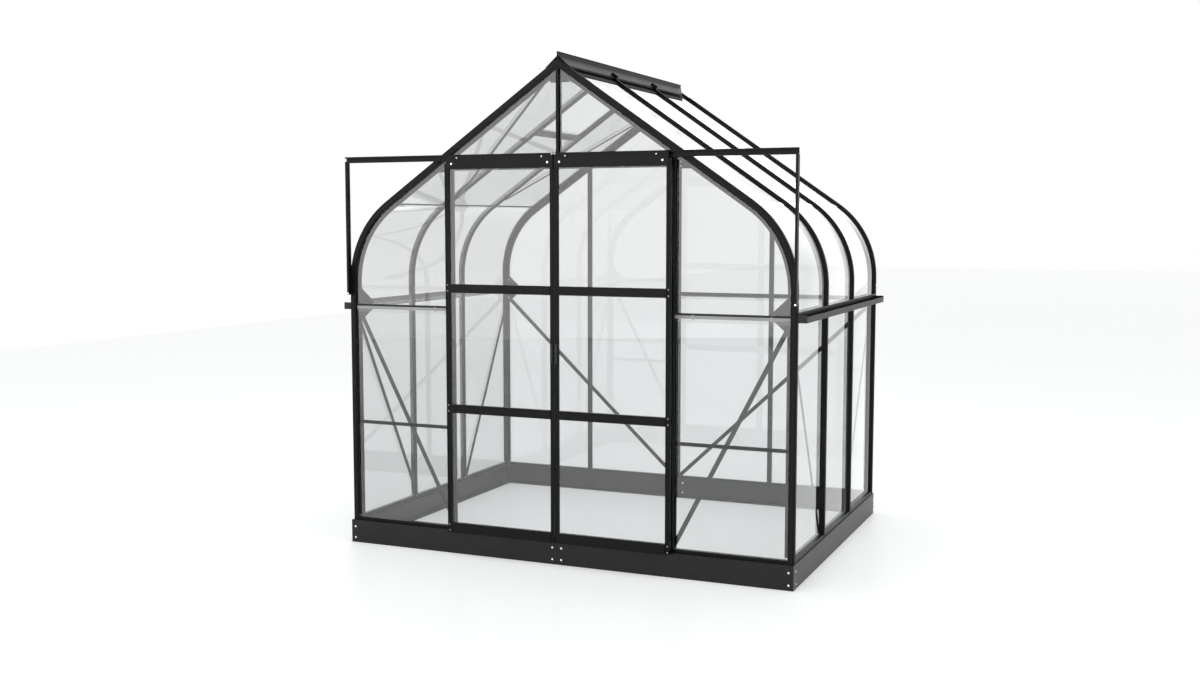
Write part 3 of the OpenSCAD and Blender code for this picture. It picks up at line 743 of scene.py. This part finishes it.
def gutterEnds():
    g = gutterLook
    for name in ("left", "right"):
        low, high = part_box(f"gutter_{name}")
        parts = []
        for end in (-1, 1):
            y = low.y if end < 0 else high.y
            y0, y1 = sorted((y, y + end * g["wall"]))
            parts.append(span((low.x + g["sideIn"], y0, low.z),
                              (high.x - g["sideIn"], y1, high.z - g["top"]), rounding["bead"]))
            for x in (low.x + g["footIn"], high.x - g["footIn"]):
                place = (x, y + end * g["footOut"], low.z + g["foot"][2] / 2)
                parts.append(block(g["foot"], place, bevel=rounding["lug"]))
            z0, z1 = g["socketZ"]
            parts.append(span((low.x + g["socketIn"], y0 - g["socketBack"], low.z + z0),
                              (high.x - g["socketIn"], y1 + g["socketOut"], low.z + z1), rounding["socket"]))
        finishPiece(joined(f"gutter_ends_{name}", parts), blackPlastic, "house")
    print("gutter ends")


# Ridge: bead on the fin, skirts over the panes, seals, and the ends of the bars over the skirt

ridgeLook = {
    "bead": 0.012, "beadHeight": 0.006,
    "hoodTop": 0.024,             # top of the hood, below the top of the fin
    "beadUp": 0.004,              # the lower bead, above the top of the hood
    "hoodX": 0.0045, "hoodEnd": 0.074, "hoodRise": 0.0062, "hoodThick": 0.002,
    "hoodLip": (0.006, 0.0045), "lipUp": 0.0006,
    "barEnd": 0.044, "barTail": 0.086, "barThick": 0.022, "barUp": 0.013,
    "sealStart": 0.034, "sealEnd": 0.066, "lipEnd": 0.112,
    "sealThick": 0.009, "sealUnder": 0.0165, "bayIn": 0.012,
    "mitre": (0.064, 0.155),      # the back end of the skirt: out from the ridge line, and cut off there
}


# Both sides of the skirt cut back at its back end, with the bead left whole
def mitred(obj, endY):
    out, back = ridgeLook["mitre"]
    selectOnly(obj)
    bpy.ops.object.mode_set(mode="EDIT")
    bpy.ops.mesh.select_all(action="SELECT")
    bpy.ops.mesh.remove_doubles(threshold=0.000001)
    for side in (-1, 1):
        bpy.ops.mesh.select_all(action="SELECT")
        bpy.ops.mesh.bisect(plane_co=(side * ridgeLook["bead"] / 2, endY, 0),
                            plane_no=(side * back, out, 0), clear_outer=True, use_fill=True)
    bpy.ops.object.mode_set(mode="OBJECT")
    return obj


def ridgeTrim():
    r = ridgeLook
    low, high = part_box("ridge")
    selectOnly(nodes["ridge"])
    bpy.ops.object.duplicate()
    parts = [bpy.context.object]
    for drop in (0.0, r["hoodTop"] - r["beadUp"]):
        z = high.z - drop
        parts.append(span((-r["bead"] / 2, low.y, z - r["beadHeight"]), (r["bead"] / 2, high.y, z),
                          rounding["bead"]))
    length = high.y - low.y
    barEnds, lips, seals = [], [], []
    for side in (-1, 1):
        top = Vector((side * r["hoodX"], 0, high.z - r["hoodTop"]))
        foot = slopePoint(side, r["hoodEnd"], 0, r["hoodRise"])
        run = foot - top
        tilt = math.atan2(-run.z, run.x)
        parts.append(block((run.length, length, r["hoodThick"]), (top + foot) / 2, tilt, rounding["plate"]))
        wide, tall = r["hoodLip"]
        place = slopePoint(side, r["hoodEnd"], 0, r["hoodRise"] + r["lipUp"])
        parts.append(block((wide, length, tall), place, side * slope, rounding["lug"]))
        for y in sideBarYs:
            run = r["barTail"] - r["barEnd"]
            place = slopePoint(side, r["barEnd"] + run / 2, y, r["barUp"])
            size = (run, capLook["width"], r["barThick"])
            barEnds.append(block(size, place, side * slope, rounding["barEnd"]))
        for middle in bayMiddles:
            wide = 2 * (barPitch / 2 - r["bayIn"])
            for strips, start, end in ((lips, r["sealEnd"], r["lipEnd"]),
                                       (seals, r["sealStart"], r["sealEnd"])):
                place = slopePoint(side, (start + end) / 2, middle, -r["sealUnder"])
                size = (end - start, wide, r["sealThick"])
                strips.append(block(size, place, side * slope, rounding["lug"]))
    ridge = mitred(joined("ridge_profile", parts), high.y)
    finishPiece(ridge, blackCoat, "house")
    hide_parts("ridge")
    finishPiece(joined("ridge_bar_ends", barEnds), blackCoat, "house")
    finishPiece(mitred(joined("ridge_lips", lips), high.y), darkSeal, "house")
    finishPiece(joined("ridge_seals", seals), darkSeal, "house")
    print("ridge trim")


# Base: splice plates and corner brackets inside the channels

plateLook = {"wall": 0.003, "spliceHalf": 0.06, "bracketX": 0.05, "bracketY": 0.075, "clear": 0.006}


def basePlates():
    p = plateLook
    wall, clear = p["wall"], p["clear"]
    parts = []
    for end in (-1, 1):
        y0, y1 = sorted((end * (-baseY - wall), end * (-baseY - 2 * wall)))
        parts.append(span((-p["spliceHalf"], y0, clear),
                          (p["spliceHalf"], y1, baseTop - clear), rounding["plate"]))
        for side in (-1, 1):
            x0, x1 = sorted((side * (baseX - wall), side * (baseX - p["bracketX"])))
            parts.append(span((x0, y0, clear), (x1, y1, baseTop - clear), rounding["plate"]))
            x0, x1 = sorted((side * (baseX - wall), side * (baseX - 2 * wall)))
            yA, yB = sorted((end * (-baseY - 2 * wall), end * (-baseY - p["bracketY"])))
            parts.append(span((x0, yA, clear), (x1, yB, baseTop - clear), rounding["plate"]))
    finishPiece(joined("base_plates", parts), baseCoat, "house")
    print("base plates")


# Plates between the door header, jambs and rafters

gussetLook = {
    "xs": (0.6555, 0.760), "low": 2.077, "high": 2.170,
    "under": 0.034,      # the slanted edge stays this far below the outer face of the slope
}


def headerGussets():
    g = gussetLook
    parts = []
    for side in (-1, 1):
        x0, x1 = sorted((side * g["xs"][0], side * g["xs"][1]))
        back = -screwPlaces["plateY"]
        plate = span((x0, back - screwPlaces["plateThick"], g["low"]), (x1, back, g["high"]))
        cutOff(plate, slopePoint(side, 0, 0, -g["under"]), (side * math.sin(slope), 0, math.cos(slope)))
        bevelEdges(plate, rounding["fine"], 1)
        parts.append(plate)
    finishPiece(joined("header_gussets", parts), blackCoat, "house")
    print("header gussets")


# Roof window: wide bottom rail, hinge rod and casement stay

windowLook = {
    "s": 0.560, "rail": 0.052, "railThick": 0.0022, "halfWidth": 0.292, "under": -0.0262,
    "lip": (0.005, 0.007), "lipOut": 0.001, "lipUp": 0.004,
    "hinge": (0.0855, -0.004), "hingeRadius": 0.0055, "hingeIn": 0.005,
    # bar, pivot and hook of the stay: size, then from the rail's edge down the slope, along it and up
    "stay": (((0.012, 0.230, 0.003), -0.012, 0.070, -0.0035, "pin"),
             ((0.030, 0.022, 0.006), -0.018, -0.035, -0.0042, "lug"),
             ((0.046, 0.009, 0.003), 0.012, 0.178, -0.0035, "pin")),
}


def windowTrim():
    w = windowLook
    wide = 2 * w["halfWidth"]
    rail = block((w["rail"], wide, w["railThick"]),
                 slopePoint(-1, w["s"] - w["rail"] / 2, 0, w["under"]), -slope, rounding["plate"])
    lip = block((w["lip"][0], wide, w["lip"][1]),
                slopePoint(-1, w["s"] + w["lipOut"], 0, w["under"] + w["lipUp"]), -slope, rounding["pin"])
    finishPiece(joined("window_rail", [rail, lip]), blackCoat, "house")
    down, up = w["hinge"]
    clearSelection()
    bpy.ops.mesh.primitive_cylinder_add(vertices=16, radius=w["hingeRadius"], depth=wide - 2 * w["hingeIn"],
                                        location=slopePoint(-1, down, 0, up), rotation=(math.pi / 2, 0, 0))
    rod = bpy.context.object
    applyPlace(rod)
    bevelEdges(rod, rounding["lug"], 1)
    smooth(rod)
    rod.name = "window_hinge"
    finishPiece(rod, blackCoat, "house")
    parts = []
    for size, down, along, up, kind in w["stay"]:
        place = slopePoint(-1, w["s"] + down, along, w["under"] + up)
        parts.append(block(size, place, -slope, rounding[kind]))
    stay = joined("casement_stay", parts)
    finishPiece(stay, blackCoat, "house")
    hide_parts("window_stay")
    print("window trim")


barCaps()
cornerLegs()
largeScrew = screwHead(screwLook["large"])
smallScrew = screwHead(screwLook["small"])
frameScrews(largeScrew, smallScrew)
leafScrews(largeScrew, smallScrew)
bpy.data.objects.remove(largeScrew)
bpy.data.objects.remove(smallScrew)
doorTrim()
lapsAndClips()
gutterEnds()
ridgeTrim()
basePlates()
headerGussets()
windowTrim()


# Studio

studio = {
    "floorColour": (0.80, 0.815, 0.82), "floorRoughness": 0.4, "floorSpecular": 0.2,
    "floorGlow": 0.285,      # glow of the floor that the camera sees
    "floorThrough": 0.225,   # glow of the near floor in glass
    "floorFar": 0.26,        # and of the floor behind, where the backdrop begins
    "farStart": 8.0, "farEnd": 24.0,
    "floorLow": (-12.0, -13.0), "floorHigh": (8.9, 44.0), "floorUnder": 0.0006,
    "sky": 0.68,             # strength for diffuse rays
}
lamps = {
    "frontSoftbox": {"place": (-5.5, -13.2, 3.8), "size": (17.0, 7.6), "aim": (0, -1, 3.8), "shine": 1.65},
    "overheadSoftbox": {"place": (1.0, -1.0, 8.0), "size": (7.0, 7.0), "aim": (0.6, 0, 0), "shine": 1.3},
}


# 1 for rays of the named kinds, 0 for the rest
def rayKind(tree, names):
    path = addNode(tree, "ShaderNodeLightPath")
    value = path.outputs[names[0]]
    for name in names[1:]:
        node = addNode(tree, "ShaderNodeMath", operation="MAXIMUM")
        link(tree, value, node.inputs[0])
        link(tree, path.outputs[name], node.inputs[1])
        value = node.outputs["Value"]
    return value


def makeFloor(look):
    (x0, y0), (x1, y1) = look["floorLow"], look["floorHigh"]
    clearSelection()
    bpy.ops.mesh.primitive_plane_add(size=1, location=((x0 + x1) / 2, (y0 + y1) / 2, -look["floorUnder"]))
    floor = bpy.context.object
    floor.name = "studioFloor"
    floor.scale = (x1 - x0, y1 - y0, 1)
    applyPlace(floor)
    mat, tree, shader = newMaterial("studioFloor")
    shader.inputs["Base Color"].default_value = (*look["floorColour"], 1)
    shader.inputs["Roughness"].default_value = look["floorRoughness"]
    shader.inputs["Specular IOR Level"].default_value = look["floorSpecular"]
    shader.inputs["Emission Color"].default_value = (1, 1, 1, 1)
    place = addNode(tree, "ShaderNodeSeparateXYZ")
    link(tree, addNode(tree, "ShaderNodeTexCoord").outputs["Object"], place.inputs["Vector"])
    far = addNode(tree, "ShaderNodeMapRange")
    far.inputs["From Min"].default_value = look["farStart"]
    far.inputs["From Max"].default_value = look["farEnd"]
    far.inputs["To Min"].default_value = look["floorThrough"]
    far.inputs["To Max"].default_value = look["floorFar"]
    link(tree, place.outputs["Y"], far.inputs["Value"])
    through = addNode(tree, "ShaderNodeMapRange")
    link(tree, rayKind(tree, ("Is Transmission Ray", "Is Glossy Ray")), through.inputs["Value"])
    link(tree, far.outputs["Result"], through.inputs["To Max"])
    glow = addNode(tree, "ShaderNodeMapRange")
    glow.inputs["To Max"].default_value = look["floorGlow"]
    link(tree, rayKind(tree, ("Is Camera Ray",)), glow.inputs["Value"])
    link(tree, through.outputs["Result"], glow.inputs["To Min"])
    link(tree, glow.outputs["Result"], shader.inputs["Emission Strength"])
    floor.data.materials.append(mat)


def makeSky(look):
    world = bpy.data.worlds.new("studioSky")
    bpy.context.scene.world = world
    world.use_nodes = True
    tree = world.node_tree
    back = tree.nodes["Background"]
    back.inputs["Color"].default_value = (1, 1, 1, 1)
    level = addNode(tree, "ShaderNodeMapRange")
    level.inputs["To Min"].default_value = look["sky"]
    level.inputs["To Max"].default_value = 1.0
    seen = rayKind(tree, ("Is Camera Ray", "Is Transmission Ray", "Is Glossy Ray"))
    link(tree, seen, level.inputs["Value"])
    link(tree, level.outputs["Result"], back.inputs["Strength"])


def makeLamp(name, look):
    data = bpy.data.lights.new(name, "AREA")
    data.shape = "RECTANGLE"
    data.size, data.size_y = look["size"]
    data.energy = look["shine"] * math.pi * look["size"][0] * look["size"][1]
    lamp = bpy.data.objects.new(name, data)
    bpy.context.scene.collection.objects.link(lamp)
    lamp.location = look["place"]
    lamp.rotation_euler = (Vector(look["aim"]) - lamp.location).to_track_quat("-Z", "Y").to_euler()
    lamp.visible_camera = False
    lamp.visible_transmission = False


shot = {
    "place": (2.9239, -7.1496, 1.82),
    "tilt": -5.094,      # degrees below level
    "turn": 23.342,      # degrees to the left of straight on
    "lens": 39.5,
}


def makeCamera(look):
    data = bpy.data.cameras.new("camera")
    data.lens = look["lens"]
    data.sensor_width = 36
    cam = bpy.data.objects.new("camera", data)
    bpy.context.scene.collection.objects.link(cam)
    cam.location = look["place"]
    cam.rotation_euler = (math.radians(90 + look["tilt"]), 0, math.radians(look["turn"]))
    bpy.context.scene.camera = cam


makeFloor(studio)
makeSky(studio)
for name, look in lamps.items():
    makeLamp(name, look)
makeCamera(shot)
bpy.context.scene.view_settings.view_transform = "Standard"
print("studio ready")
